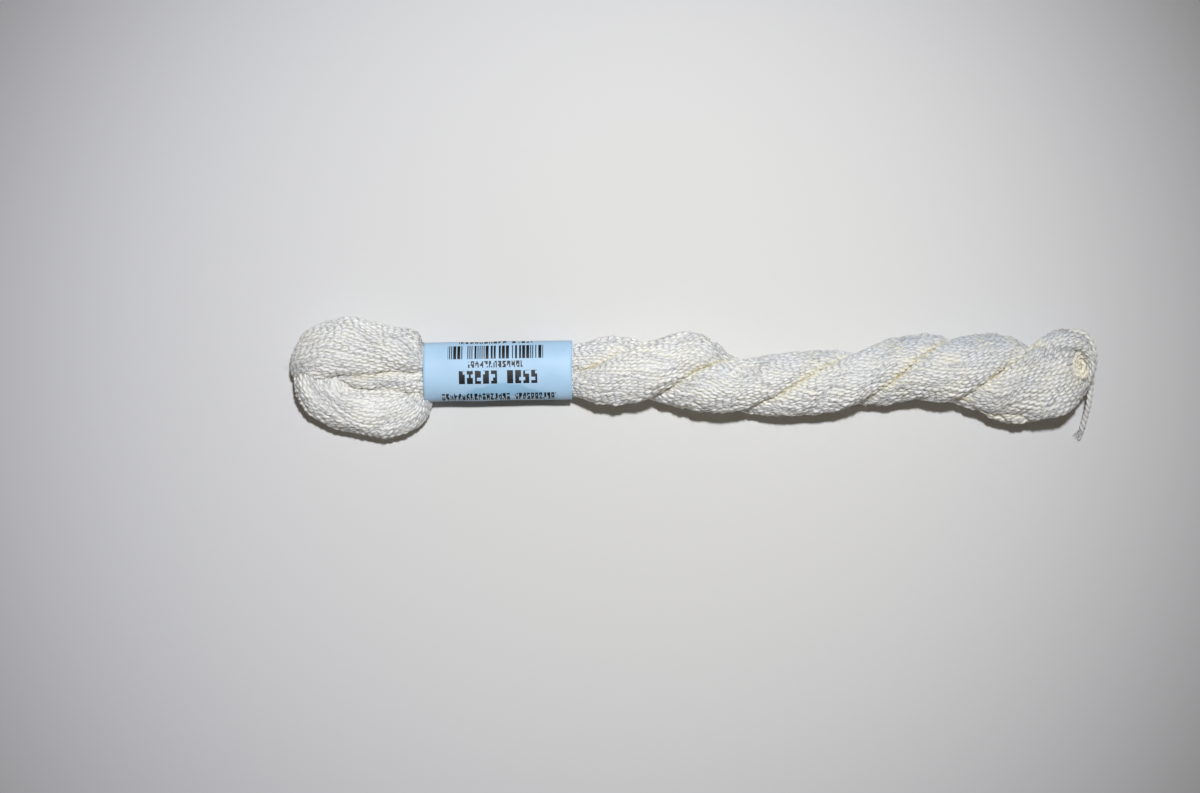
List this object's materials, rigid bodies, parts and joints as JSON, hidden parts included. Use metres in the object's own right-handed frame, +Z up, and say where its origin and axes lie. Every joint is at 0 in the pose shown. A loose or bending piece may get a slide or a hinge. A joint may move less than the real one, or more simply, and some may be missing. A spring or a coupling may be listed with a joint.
{
  "type": "skein of embroidery floss",
  "caption": "White embroidery floss wound as a skein: a two-ply rope with a flat bun at one end, a folded loop at the other, a paper band beside the bun and one loose thread end.",
  "frame": {"origin": "middle of the skein's underside without its loose end, on the surface it lies on", "axes": "+X along the skein from the bun to the folded loop, +Z up from the surface, +Y across"},
  "size_m": [0.2065, 0.0315, 0.0186],
  "materials": {
    "silk_thread": "soft white two-ply silk with a low sheen",
    "band_paper": "pale blue coated label paper, satin"
  },
  "bodies": {
    "root": {"hank": "silk_thread", "label_band": "band_paper", "loose_end": "silk_thread"}
  },
  "joints": []
}
